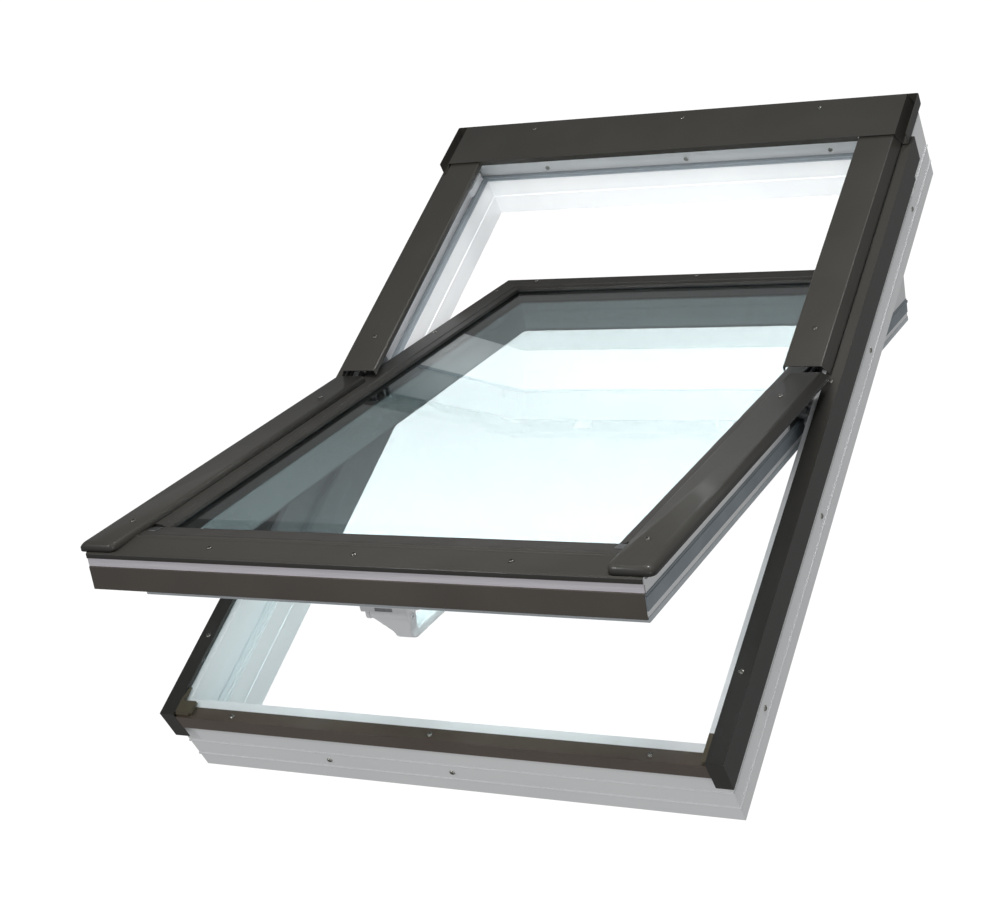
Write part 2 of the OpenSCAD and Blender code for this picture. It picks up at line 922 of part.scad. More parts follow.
module handle_base() {
    color(white) opened() difference() {
        union() {
            translate([-handle_base_w / 2 + 8, base_y, base_z])
                cube([handle_base_w - 16, 32, 7.7]);
            for (s = [-1, 1])
                translate([s * (handle_base_w / 2 - 16), base_y + 16, base_z])
                    cylinder(r = 16, h = 7.7);
            for (s = [-1, 1])
                on_side(s) translate([27, 0, 0]) union() {
                    translate([0, knuckle_y - 7, knuckle_z]) cube([4, 14, base_z - knuckle_z + 1]);
                    translate([0, knuckle_y, knuckle_z]) rotate([0, 90, 0])
                        cylinder(r = 7, h = 4);
                }
        }
        translate([-12.3, base_y - 1, base_z + 1.4]) cube([24.6, 28, 4.4]);
        translate([-40, knuckle_y, knuckle_z]) rotate([0, 90, 0]) cylinder(r = 3.1, h = 80);
        at_handle_screws() hole(14);
    }
}

module handle_screws() {
    color(steel) opened() at_handle_screws() screw(12);
}

module handle_lever() {
    y = knuckle_y;
    z = knuckle_z;
    g = grip_top;
    color(white) opened() difference() {
        union() {
            intersection() {
                along_x(-26.6, 26.6) polygon([[y - 6.5, z + 1], [y + 2, z + 5.4], [y + 8, z + 4],
                    [y + 14, z - 3], [y + 38, g - 2], [y + 44, g], [y + 30 + grip_len, g],
                    [y + 33 + grip_len, g - 3], [y + 33 + grip_len, g - 9],
                    [y + 30 + grip_len, g - 12], [y + 30, g - 12], [y + 22, g - 8]]);
                translate([0, 2 * hl, 0]) rotate([90, 0, 0]) linear_extrude(4 * hl)
                    polygon([[-26.6, z + 8], [26.6, z + 8], [26.6, z - 6], [grip_w / 2, g + 2],
                        [grip_w / 2, g - 20], [-grip_w / 2, g - 20], [-grip_w / 2, g + 2],
                        [-26.6, z - 6]]);
            }
            translate([-26.6, y, z]) rotate([0, 90, 0]) cylinder(r = 6.5, h = 53.2);
            translate([-31, y, z]) rotate([0, 90, 0]) cylinder(r = 3, h = 62);
        }
    }
}

// flat bolt that the handle drives into the keep
module latch_bolt() {
    color(steel) opened() translate([-12, base_y + 0.3, base_z + 1.7]) cube([24, 24, 3.8]);
}

// ---- assembly ----

frame_jamb_left();
frame_jamb_right();
frame_head();
frame_sill();
frame_steel_bars();
frame_gasket();
groove_strip_left();
groove_strip_right();
groove_block_left();
groove_block_right();
side_cladding_left();
side_cladding_right();
sill_cladding();
corner_block_left();
corner_block_right();
head_cladding();
upper_cover_left();
upper_cover_right();
upper_cover_brackets();
head_cover();
head_cover_blocks();
frame_hinge_left();
frame_hinge_right();
frame_screws();
cladding_screws();
cover_screws();
frame_inner_screws();
latch_keep();
sash_stile_left();
sash_stile_right();
sash_top_rail();
sash_bottom_rail();
sash_steel_bars();
sash_gasket();
sash_edge_seal();
outer_pane();
inner_pane();
glass_spacer();
glass_bed_seal();
glass_top_seal();
side_bead_left();
side_bead_right();
top_bead();
bottom_bead();
bead_clips();
side_cover_left();
side_cover_right();
side_cover_brackets();
bottom_cover();
silver_strip();
fascia();
sash_hinge_left();
sash_hinge_right();
sash_screws();
sash_hinge_screws();
handle_base();
handle_screws();
handle_lever();
latch_bolt();
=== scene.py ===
"""A centre-pivot roof window, shown open: finishes, screws and folded sheets around its CAD parts.

X runs across the window, Y up the roof slope and Z outwards. Everything is in metres.
"""

import json
import math

import bmesh
import bpy
from mathutils import Matrix, Vector


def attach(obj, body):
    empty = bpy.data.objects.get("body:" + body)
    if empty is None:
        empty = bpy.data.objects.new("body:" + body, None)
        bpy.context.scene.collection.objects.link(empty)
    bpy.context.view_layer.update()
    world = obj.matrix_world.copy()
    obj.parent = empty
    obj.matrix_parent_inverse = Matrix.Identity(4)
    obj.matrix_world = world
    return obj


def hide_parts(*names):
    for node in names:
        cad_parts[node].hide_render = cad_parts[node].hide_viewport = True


bl_info = {
    "name": "Roof window finishes",
    "version": (1, 0, 0),
    "blender": (4, 5, 0),
    "location": "View3D > Sidebar > Roof window",
    "description": "Finishes, screws and folded sheets for a centre-pivot roof window",
    "category": "Object",
}

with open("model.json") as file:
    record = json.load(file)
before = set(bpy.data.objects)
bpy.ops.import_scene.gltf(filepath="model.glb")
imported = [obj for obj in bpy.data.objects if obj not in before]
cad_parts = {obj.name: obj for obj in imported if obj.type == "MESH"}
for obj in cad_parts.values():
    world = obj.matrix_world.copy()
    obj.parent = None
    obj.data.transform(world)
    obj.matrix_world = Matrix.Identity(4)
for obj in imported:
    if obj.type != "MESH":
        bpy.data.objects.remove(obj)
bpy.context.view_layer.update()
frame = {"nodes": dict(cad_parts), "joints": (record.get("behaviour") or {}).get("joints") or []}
MM = 0.001


# The covers of the sash are drawn shut, then turned about the pivot to the opening shown.
PIVOT = next(j for j in frame["joints"] if j["name"] == "sash_pivot")
PIVOT_POINT = Vector(PIVOT["pos_m"])
OPEN_ANGLE = math.radians(-PIVOT["range_deg"][0])
OPENED = (
    Matrix.Translation(PIVOT_POINT)
    @ Matrix.Rotation(OPEN_ANGLE, 4, Vector(PIVOT["axis"]))
    @ Matrix.Translation(-PIVOT_POINT)
)


# ---- small helpers ----


def linear(hex_code):
    """An sRGB hex colour as linear RGBA, opaque."""
    parts = [int(hex_code[i : i + 2], 16) / 255 for i in (1, 3, 5)]
    return [c / 12.92 if c <= 0.04045 else ((c + 0.055) / 1.055) ** 2.4 for c in parts] + [1.0]


def add(tree, kind, settings=None, links=None):
    """Adds a node. Settings set its properties or sockets; links join its sockets to others."""
    made = tree.nodes.new(kind)
    for key, value in (settings or {}).items():
        if isinstance(key, str) and hasattr(made, key) and key not in made.inputs:
            setattr(made, key, value)
        else:
            made.inputs[key].default_value = value
    for key, source in (links or {}).items():
        tree.links.new(source, made.inputs[key])
    return made


def new_material(name):
    """An empty node material and its tree."""
    made = bpy.data.materials.new(name)
    made.use_nodes = True
    made.node_tree.nodes.clear()
    return made, made.node_tree


def mesh_piece(name, bm, material, smooth_angle):
    """Turns a bmesh in metres into a piece with its object at the origin."""
    mesh = bpy.data.meshes.new(name)
    bmesh.ops.remove_doubles(bm, verts=bm.verts, dist=0.001 * MM)
    bmesh.ops.recalc_face_normals(bm, faces=bm.faces)
    bm.to_mesh(mesh)
    bm.free()
    made = bpy.data.objects.new(name, mesh)
    bpy.context.scene.collection.objects.link(made)
    mesh.materials.append(material)
    mesh.set_sharp_from_angle(angle=math.radians(smooth_angle))
    return made


def settle(piece, body, node):
    """Puts a finished piece on its body, in place of the CAD node it stands for."""
    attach(piece, body)
    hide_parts(node)


# ---- materials ----

# Each family is a real material and the way it was made. Clouds and grain are the repeats per
# metre and the detail of a noise; roughness is its lowest and highest value; relief is a height
# in mm and a strength. A grain finer than about 1 mm is drawn at 1 mm or more, so that it shows.

# Rigid PVC, extruded: an even semi-gloss. Its draw lines are 2 mm apart (6 repeats, drawn 90
# times narrower across) and barely catch the light.
EXTRUDED_UPVC = {
    "clouds": (5.0, 3.0),
    "grain": (6.0, 2.0),
    "roughness": (0.30, 0.42),
    "relief": (0.05, 0.25),
    "shader": {"IOR": 1.53, "Coat Weight": 0.15, "Coat Roughness": 0.18},
}
# ABS or ASA, injection moulded: a fine satin grain, drawn coarser than real, that breaks up the
# highlight.
MOULDED_PLASTIC = {
    "clouds": (18.0, 3.0),
    "grain": (1 / (0.9 * MM), 2.0),
    "relief": (0.06, 0.3),
    "shader": {"IOR": 1.5},
}
# Polyester powder coat on aluminium sheet: a satin film with orange peel 1.6 mm across.
POWDER_COAT = {
    "clouds": (9.0, 3.0),
    "grain": (1 / (1.6 * MM), 1.5),
    "roughness": (0.36, 0.46),
    "relief": (0.05, 0.35),
    "shader": {"IOR": 1.46, "Coat Weight": 0.3, "Coat Roughness": 0.13},
}
# Metal left bare or thinly finished: streaks, drawn coarser than real, from drawing or rolling.
# The tones follow the streaks.
WORKED_METAL = {
    "grain": (1 / (1.5 * MM), 3.0),
    "relief": (0.03, 0.3),
    "shader": {"Metallic": 1.0},
}
# Thermoplastic or EPDM rubber, extruded: a dull bloom over a fine skin, drawn coarser than real.
SOFT_SEAL = {
    "clouds": (22.0, 4.0),
    "grain": (1 / (1.2 * MM), 2.0),
    "roughness": (0.57, 0.70),
    "relief": (0.08, 0.3),
    "shader": {"IOR": 1.48, "Specular IOR Level": 0.4},
}

# A colour is a hex code, or the name of the property that holds it.
SURFACES = {
    # cool white, lined up the slope on the jambs and stiles
    "upvc_along_y": {
        **EXTRUDED_UPVC,
        "name": "upvc_extruded_along_slope",
        "colour": "white_colour",
        "shade": "white_shade",
        "stretch": (90.0, 1.2, 90.0),
    },
    # the same white, lined across on the head, the sill and the rails
    "upvc_along_x": {
        **EXTRUDED_UPVC,
        "name": "upvc_extruded_across",
        "colour": "white_colour",
        "shade": "white_shade",
        "stretch": (1.2, 90.0, 90.0),
    },
    # a slightly greyer white that takes soft highlights, on the handle and the blocks
    "white_moulding": {
        **MOULDED_PLASTIC,
        "name": "white_abs_moulding",
        "colour": "#F1F2F4",
        "shade": "#EAECEE",
        "roughness": (0.29, 0.41),
    },
    # near-black umber grey with a broad, soft sheen
    "umber_coat": {
        **POWDER_COAT,
        "name": "umber_grey_powder_coat",
        "colour": "cladding_colour",
        "shade": "cladding_shade",
    },
    # the dark coat on the sill, painted paler and browner with a painted brown reflection, and
    # glossier
    "umber_sill_painted_reflection": {
        **POWDER_COAT,
        "name": "umber_brown_powder_coat",
        "colour": "#5C5148",
        "shade": "#534940",
        "roughness": (0.30, 0.40),
    },
    # painted light: the same coat, painted paler on the upright front face
    "umber_front_painted_light": {
        **POWDER_COAT,
        "name": "umber_powder_coat_front",
        "colour": "#4B4640",
        "shade": "#45403B",
    },
    # dull dark beads, without the film of the coated sheets
    "umber_plastic": {
        **MOULDED_PLASTIC,
        "name": "umber_grey_asa_moulding",
        "colour": "#2B2A28",
        "shade": "#262523",
        "roughness": (0.37, 0.49),
    },
    # olive-brown corner blocks, lighter than the sheets that they join
    "umber_block": {
        **MOULDED_PLASTIC,
        "name": "umber_brown_asa_moulding",
        "colour": "#5B5443",
        "shade": "#50493B",
        "roughness": (0.35, 0.47),
    },
    # a pale, milky metal: the oxide film scatters about half of the light
    "silver": {
        **WORKED_METAL,
        "name": "anodised_aluminium",
        "colour": "#E4E0E6",
        "shade": "#D6D2D9",
        "stretch": (0.02, 1.0, 1.0),
        "roughness": (0.36, 0.52),
        "shader": {"Metallic": 0.45},
    },
    # a dark, dull bar at the edge of the glass
    "spacer": {
        **WORKED_METAL,
        "name": "spacer_aluminium",
        "colour": "#3A3D3E",
        "shade": "#2F3233",
        "roughness": (0.34, 0.50),
    },
    # a light grey with coarse, uneven streaks 2.5 mm apart
    "zinc": {
        **WORKED_METAL,
        "name": "zinc_plated_steel",
        "colour": "#B8BABB",
        "shade": "#9EA1A4",
        "grain": (1 / (2.5 * MM), 3.0),
        "stretch": (1.0, 0.25, 1.0),
        "roughness": (0.30, 0.46),
    },
    # bright, slightly warm screw heads on the white members
    "screw_steel": {
        **WORKED_METAL,
        "name": "zinc_plated_screw",
        "colour": "#C6C5BF",
        "shade": "#A8A7A1",
        "roughness": (0.22, 0.38),
    },
    # darker and sharper glints on the covers
    "dark_screw": {
        **WORKED_METAL,
        "name": "nickel_screw",
        "colour": "#B5B4AE",
        "shade": "#94938E",
        "roughness": (0.18, 0.34),
    },
    # a matt blue-grey line in the groove of the sash
    "grey_seal": {
        **SOFT_SEAL,
        "name": "grey_tpe_seal",
        "colour": "#98A1A7",
        "shade": "#8D969C",
    },
    # grey above the pivot and nearly white below it
    "frame_seal": {
        **SOFT_SEAL,
        "name": "frame_seal_grey_above_pivot",
        "colour": "#98A1A7",
        "shade": "#DADDDF",
        "clouds": None,
        "split_y": PIVOT_POINT.y,
        "roughness": (0.55, 0.70),
    },
    # a pale, matt lip along the edge of the sash
    "edge_seal": {
        **SOFT_SEAL,
        "name": "pale_grey_tpe_seal",
        "colour": "#CFD5D9",
        "shade": "#C2C9CD",
    },
    # a black line round the glass, a little glossier than the grey seals
    "black_seal": {
        **SOFT_SEAL,
        "name": "black_epdm_seal",
        "colour": "#1E1F20",
        "shade": "#191A1B",
        "roughness": (0.50, 0.63),
    },
}


def surface(
    name,
    colour,
    shade,
    grain,
    roughness,
    relief,
    shader,
    clouds=None,
    stretch=(1.0, 1.0, 1.0),
    split_y=None,
):
    """A finish in two close tones, with a grain that breaks up its gloss.

    The tones follow the clouds. With a split they change at that place up the slope instead, and
    with neither they follow the grain.
    """
    made, tree = new_material(name)
    where = add(tree, "ShaderNodeTexCoord")
    drawn = add(tree, "ShaderNodeMapping", {"Scale": stretch}, {"Vector": where.outputs["Object"]})
    fine = add(
        tree,
        "ShaderNodeTexNoise",
        {"Scale": grain[0], "Detail": grain[1]},
        {"Vector": drawn.outputs["Vector"]},
    )
    tone = fine.outputs["Fac"]
    if clouds:
        broad = add(
            tree,
            "ShaderNodeTexNoise",
            {"Scale": clouds[0], "Detail": clouds[1]},
            {"Vector": where.outputs["Object"]},
        )
        tone = broad.outputs["Fac"]
    if split_y is not None:
        parts = add(tree, "ShaderNodeSeparateXYZ", links={"Vector": where.outputs["Object"]})
        above = add(
            tree,
            "ShaderNodeMath",
            {"operation": "GREATER_THAN", 1: split_y},
            {0: parts.outputs["Y"]},
        )
        tone = above.outputs["Value"]
    tones = add(tree, "ShaderNodeValToRGB", links={"Fac": tone})
    low, high = tones.color_ramp.elements
    low.position, low.color = 0.3, shade
    high.position, high.color = 0.7, colour
    gloss = add(
        tree,
        "ShaderNodeMapRange",
        {"To Min": roughness[0], "To Max": roughness[1]},
        {"Value": fine.outputs["Fac"]},
    )
    bump = add(
        tree,
        "ShaderNodeBump",
        {"Distance": relief[0] * MM, "Strength": relief[1]},
        {"Height": fine.outputs["Fac"]},
    )
    closed = add(
        tree,
        "ShaderNodeBsdfPrincipled",
        shader,
        {
            "Base Color": tones.outputs["Color"],
            "Roughness": gloss.outputs["Result"],
            "Normal": bump.outputs["Normal"],
        },
    )
    add(tree, "ShaderNodeOutputMaterial", links={"Surface": closed.outputs["BSDF"]})
    return made


def float_glass(name, tint, shadow_tint):
    """Coated float glass: clear, with a cool grey-green cast and sharp, faint reflections.

    The lamps' light goes straight through it and is only tinted.
    """
    made, tree = new_material(name)
    glass = add(
        tree,
        "ShaderNodeBsdfPrincipled",
        {"Base Color": tint, "Roughness": 0.0, "IOR": 1.52, "Transmission Weight": 1.0},
    )
    clear = add(tree, "ShaderNodeBsdfTransparent", {"Color": shadow_tint})
    path = add(tree, "ShaderNodeLightPath")
    both = add(
        tree,
        "ShaderNodeMixShader",
        links={
            0: path.outputs["Is Shadow Ray"],
            1: glass.outputs["BSDF"],
            2: clear.outputs["BSDF"],
        },
    )
    add(tree, "ShaderNodeOutputMaterial", links={"Surface": both.outputs["Shader"]})
    return made


def sweep_floor(name, seen, mirrored, through_glass, cast):
    """The even pale floor: its brightness looked at, mirrored, through glass, and as a light."""
    made, tree = new_material(name)
    path = add(tree, "ShaderNodeLightPath")
    bounces = add(
        tree,
        "ShaderNodeMath",
        {"operation": "ADD"},
        {0: path.outputs["Diffuse Depth"], 1: path.outputs["Glossy Depth"]},
    )
    straight = add(
        tree, "ShaderNodeMath", {"operation": "LESS_THAN", 1: 0.5}, {0: bounces.outputs["Value"]}
    )
    looked_through = add(
        tree,
        "ShaderNodeMath",
        {"operation": "MULTIPLY"},
        {0: straight.outputs["Value"], 1: path.outputs["Is Transmission Ray"]},
    )
    in_a_mirror = add(
        tree,
        "ShaderNodeMix",
        {"A": seen, "B": mirrored},
        {"Factor": path.outputs["Is Glossy Ray"]},
    )
    as_a_light = add(
        tree,
        "ShaderNodeMix",
        {"B": cast},
        {"Factor": path.outputs["Is Diffuse Ray"], "A": in_a_mirror.outputs["Result"]},
    )
    clear = add(
        tree,
        "ShaderNodeMix",
        {"B": through_glass},
        {"Factor": looked_through.outputs["Value"], "A": as_a_light.outputs["Result"]},
    )
    glow = add(
        tree,
        "ShaderNodeEmission",
        {"Color": linear("#FFFFFF")},
        {"Strength": clear.outputs["Result"]},
    )
    add(tree, "ShaderNodeOutputMaterial", links={"Surface": glow.outputs["Emission"]})
    made.cycles.emission_sampling = "NONE"
    return made


def chosen(code):
    """A colour from its hex code, or from the property of that name."""
    if code.startswith("#"):
        return linear(code)
    return tuple(getattr(bpy.context.scene.roof_window_make, code))


FINISHES = {}


def finish(name):
    """A finished material, made on first use."""
    if name not in FINISHES:
        if name == "pane":
            made = float_glass("coated_float_glass", chosen("glass_tint"), chosen("#D6DCDC"))
        else:
            recipe = dict(SURFACES[name])
            recipe["colour"] = chosen(recipe["colour"])
            recipe["shade"] = chosen(recipe["shade"])
            made = surface(**recipe)
        FINISHES[name] = made
    return FINISHES[name]


WELD_GAP = 0.002 * MM
# the most that two faces may turn and still be one flat face
FLAT_ANGLE = math.radians(0.5)
# the least turn that is softened as an edge
EDGE_ANGLE = math.radians(38)


def dress(nodes, material, edge_mm, segments=2, flatten=True):
    """Gives CAD nodes their finish and a softened edge, leaving their meshes as they are.

    Rings are not flattened, because that fills the opening in them.
    """
    for name in nodes:
        node = frame["nodes"][name]
        node.data.materials.clear()
        node.data.materials.append(material)
        weld = node.modifiers.new("weld", "WELD")
        weld.merge_threshold = WELD_GAP
        if flatten:
            flat = node.modifiers.new("flatten", "DECIMATE")
            flat.decimate_type = "DISSOLVE"
            flat.angle_limit = FLAT_ANGLE
        edge = node.modifiers.new("edge", "BEVEL")
        edge.width = edge_mm * MM
        edge.segments = segments
        edge.limit_method = "ANGLE"
        edge.angle_limit = EDGE_ANGLE
        smooth = node.modifiers.new("normals", "WEIGHTED_NORMAL")
        smooth.keep_sharp = True


# ---- folded sheets, by geometry nodes ----


def folded_sheet_tree():
    """Rounds the corners of a drawn fold line, runs it out into a sheet and gives it thickness."""
    tree = bpy.data.node_groups.new("folded sheet", "GeometryNodeTree")
    face = tree.interface
    face.new_socket("Fold line", in_out="INPUT", socket_type="NodeSocketGeometry")
    face.new_socket("Bend radius", in_out="INPUT", socket_type="NodeSocketFloat")
    face.new_socket("Run", in_out="INPUT", socket_type="NodeSocketVector")
    face.new_socket("Thickness", in_out="INPUT", socket_type="NodeSocketFloat")
    face.new_socket("Finish", in_out="INPUT", socket_type="NodeSocketMaterial")
    face.new_socket("Sheet", in_out="OUTPUT", socket_type="NodeSocketGeometry")
    given = add(tree, "NodeGroupInput")
    line = add(tree, "GeometryNodeMeshToCurve", links={"Mesh": given.outputs["Fold line"]})
    bent = add(
        tree,
        "GeometryNodeFilletCurve",
        {"mode": "POLY", "Count": 5, "Limit Radius": True},
        {"Curve": line.outputs["Curve"], "Radius": given.outputs["Bend radius"]},
    )
    edge = add(tree, "GeometryNodeCurveToMesh", links={"Curve": bent.outputs["Curve"]})
    face_out = add(
        tree,
        "GeometryNodeExtrudeMesh",
        {"mode": "EDGES", "Offset Scale": 1.0},
        {"Mesh": edge.outputs["Mesh"], "Offset": given.outputs["Run"]},
    )
    thick = add(
        tree,
        "GeometryNodeExtrudeMesh",
        {"mode": "FACES", "Individual": False},
        {"Mesh": face_out.outputs["Mesh"], "Offset Scale": given.outputs["Thickness"]},
    )
    under = add(tree, "GeometryNodeFlipFaces", links={"Mesh": face_out.outputs["Mesh"]})
    both = add(tree, "GeometryNodeJoinGeometry", links={"Geometry": under.outputs["Mesh"]})
    tree.links.new(thick.outputs["Mesh"], both.inputs["Geometry"])
    whole = add(
        tree,
        "GeometryNodeMergeByDistance",
        {"Distance": 0.001 * MM},
        {"Geometry": both.outputs["Geometry"]},
    )
    real = add(tree, "GeometryNodeRealizeInstances", links={"Geometry": whole.outputs["Geometry"]})
    painted = add(
        tree,
        "GeometryNodeSetMaterial",
        links={"Geometry": real.outputs["Geometry"], "Material": given.outputs["Finish"]},
    )
    add(tree, "NodeGroupOutput", links={"Sheet": painted.outputs["Geometry"]})
    return tree


def baked(source, name):
    """The finished shape of an object, modifiers and all, as a plain mesh piece."""
    bpy.context.view_layer.update()
    graph = bpy.context.evaluated_depsgraph_get()
    mesh = bpy.data.meshes.new_from_object(source.evaluated_get(graph), depsgraph=graph)
    bpy.data.objects.remove(source)
    mesh.name = name
    made = bpy.data.objects.new(name, mesh)
    bpy.context.scene.collection.objects.link(made)
    return made


def apply_tree(carrier, tree, values, name, smooth_angle):
    """Runs a node tree on a carrier object and returns the result as a plain mesh piece."""
    run = carrier.modifiers.new("build", "NODES")
    run.node_group = tree
    sockets = {s.name: s.identifier for s in tree.interface.items_tree if s.in_out == "INPUT"}
    for key, value in values.items():
        run[sockets[key]] = value
    made = baked(carrier, name)
    bm = bmesh.new()
    bm.from_mesh(made.data)
    bmesh.ops.recalc_face_normals(bm, faces=bm.faces)
    bm.to_mesh(made.data)
    bm.free()
    made.data.set_sharp_from_angle(angle=math.radians(smooth_angle))
    return made


def folded(name, line_mm, plane, run_mm, radius, side=1):
    """A folded sheet from its fold line in millimetres; plane 'xz' runs along Y, 'yz' along X."""
    start, end = run_mm
    points = [
        Vector((a, start, b)) * MM if plane == "xz" else Vector((start, a, b)) * MM
        for a, b in line_mm
    ]
    mesh = bpy.data.meshes.new("line")
    mesh.from_pydata(points, [(i, i + 1) for i in range(len(points) - 1)], [])
    carrier = bpy.data.objects.new("line", mesh)
    bpy.context.scene.collection.objects.link(carrier)
    run = Vector((0, end - start, 0) if plane == "xz" else (end - start, 0, 0)) * MM
    return apply_tree(
        carrier,
        SHEET_TREE,
        {
            "Bend radius": radius * MM,
            "Run": run,
            "Thickness": side * bpy.context.scene.roof_window_make.sheet_thickness,
            "Finish": finish("umber_coat"),
        },
        name,
        30,
    )


# Fold lines in mm: across and outwards for the upper cover, up the slope and outwards for the
# bottom cover, with the two ends of each one's run.
UPPER_COVER = ((320, 136), (320, 145), (374, 145), (383, 131), (383, 129))
UPPER_COVER_RUN = (24, 560)
UPPER_COVER_BEND = 2.6
BOTTOM_COVER = (
    (-550, 128.8),
    (-550, 131.4),
    (-554, 131.2),
    (-555, 132.2),
    (-558, 132.1),
    (-559, 131.0),
    (-603.5, 128.4),
    (-605.5, 126.6),
    (-605.5, 121),
)
BOTTOM_COVER_RUN = (-374, 374)
BOTTOM_COVER_BEND = 1.4
# height, inner edge, outer edge, low end and corner radius of each ring of a side cover
SIDE_COVER_RINGS = (
    (128.5, 331.0, 387.0, -603.0, 9.0),
    (133.0, 331.0, 387.0, -603.0, 9.0),
    (135.6, 331.2, 384.6, -602.5, 8.6),
    (137.7, 331.9, 382.0, -601.5, 8.0),
    (139.2, 333.1, 379.3, -600.0, 7.2),
    (140.0, 335.0, 376.2, -598.0, 6.2),
)
SIDE_COVER_TOP = 22.0


def cover_ring(sign, level, turns=7):
    """One level of a side cover in plan: up one side, round both corners of the nose and back."""
    z, inner, outer, low, radius = level
    points = [(inner, SIDE_COVER_TOP)]
    for centre_x, first in ((inner + radius, 180), (outer - radius, 270)):
        for i in range(turns):
            angle = math.radians(first + 90 * i / (turns - 1))
            points.append(
                (centre_x + radius * math.cos(angle), low + radius + radius * math.sin(angle))
            )
    points.append((outer, SIDE_COVER_TOP))
    return [Vector((sign * x, y, z)) * MM for x, y in points]


def pressed_cover(name, sign):
    """A side cover of the sash: rolled long edges and a pressed, closed nose at its low end."""
    bm = bmesh.new()
    rings = [[bm.verts.new(p) for p in cover_ring(sign, level)] for level in SIDE_COVER_RINGS]
    for lower, upper in zip(rings, rings[1:]):
        for i in range(len(lower) - 1):
            bm.faces.new((lower[i], lower[i + 1], upper[i + 1], upper[i]))
    bm.faces.new(rings[-1])
    skin = mesh_piece(name, bm, finish("umber_coat"), 50)
    up = sum(f.normal.z * f.area for f in skin.data.polygons)
    if up < 0:
        skin.data.flip_normals()
    thick = skin.modifiers.new("sheet", "SOLIDIFY")
    thick.thickness = bpy.context.scene.roof_window_make.sheet_thickness
    thick.offset = -1.0
    made = baked(skin, name)
    made.data.transform(OPENED)
    return made


# ---- screws, by geometry nodes ----


# radius and height of a screw's head, the radius of its shank, and the length of its point, in mm
HEAD_RADIUS = 3.8
HEAD_HEIGHT = 1.9
SHANK_RADIUS = 1.8
POINT_LENGTH = 1.5
# how far from its farthest corner a screw's point reaches, in mm
TIP_REACH = 4.2


def screw_prototype(length):
    """A pan-head screw with a cross recess, seated at the origin and pointing up Z."""
    head_r, head_h, shank_r = HEAD_RADIUS, HEAD_HEIGHT, SHANK_RADIUS
    # radius and height down the side, from the crown of the head to the point
    dome = [
        (0.0, head_h),
        (0.35 * head_r, head_h * 0.99),
        (0.65 * head_r, head_h * 0.92),
        (0.86 * head_r, head_h * 0.74),
        (0.97 * head_r, head_h * 0.45),
        (head_r, 0.12 * head_h),
        (0.985 * head_r, 0.0),
        (shank_r, 0.0),
        (shank_r, -length + POINT_LENGTH),
        (0.2, -length),
        (0.0, -length),
    ]
    bm = bmesh.new()
    ring = [bm.verts.new((r * MM, 0, z * MM)) for r, z in dome]
    edges = [bm.edges.new(pair) for pair in zip(ring, ring[1:])]
    bmesh.ops.spin(
        bm,
        geom=ring + edges,
        axis=(0, 0, 1),
        cent=(0, 0, 0),
        angle=math.tau,
        steps=28,
    )
    bmesh.ops.remove_doubles(bm, verts=bm.verts, dist=1e-7)
    bmesh.ops.recalc_face_normals(bm, faces=bm.faces)
    head = bpy.data.meshes.new("screw head")
    bm.to_mesh(head)
    bm.free()
    cross = bmesh.new()
    slot_size = (1.15 * head_r * MM, 0.26 * head_r * MM, 1.5 * head_h * MM, 1)
    for turn in (0, 90):
        turned = Matrix.Rotation(math.radians(turn), 4, "Z")
        place = turned @ Matrix.Translation((0, 0, head_h * MM))
        bmesh.ops.create_cube(cross, size=1.0, matrix=place @ Matrix.Diagonal(slot_size))
    recess = bpy.data.meshes.new("recess")
    cross.to_mesh(recess)
    cross.free()
    body = bpy.data.objects.new("screw prototype", head)
    tool = bpy.data.objects.new("recess", recess)
    for o in (body, tool):
        bpy.context.scene.collection.objects.link(o)
    cut = body.modifiers.new("recess", "BOOLEAN")
    cut.object = tool
    cut.operation = "DIFFERENCE"
    cut.solver = "EXACT"
    cut.use_self = True
    made = baked(body, "screw prototype")
    bpy.data.objects.remove(tool)
    made.data.set_sharp_from_angle(angle=math.radians(40))
    made.hide_render = True
    return made


def screw_places(node):
    """Seat and outward direction of every screw in a CAD node of screws."""
    bm = bmesh.new()
    bm.from_mesh(frame["nodes"][node].data)
    bmesh.ops.remove_doubles(bm, verts=bm.verts, dist=1e-6)
    places, seen = [], set()
    for start in bm.verts:
        if start in seen:
            continue
        island, todo = [], [start]
        seen.add(start)
        while todo:
            vert = todo.pop()
            island.append(vert.co.copy())
            for edge in vert.link_edges:
                other = edge.other_vert(vert)
                if other not in seen:
                    seen.add(other)
                    todo.append(other)
        centre = sum(island, Vector()) / len(island)
        far = max(island, key=lambda p: (p - centre).length)
        tip_side = [p for p in island if (p - far).length < TIP_REACH * MM]
        tip = sum(tip_side, Vector()) / len(tip_side)
        axis = (centre - tip).normalized()
        top = max((p - tip).dot(axis) for p in island)
        places.append((tip + axis * top, axis))
    bm.free()
    return places


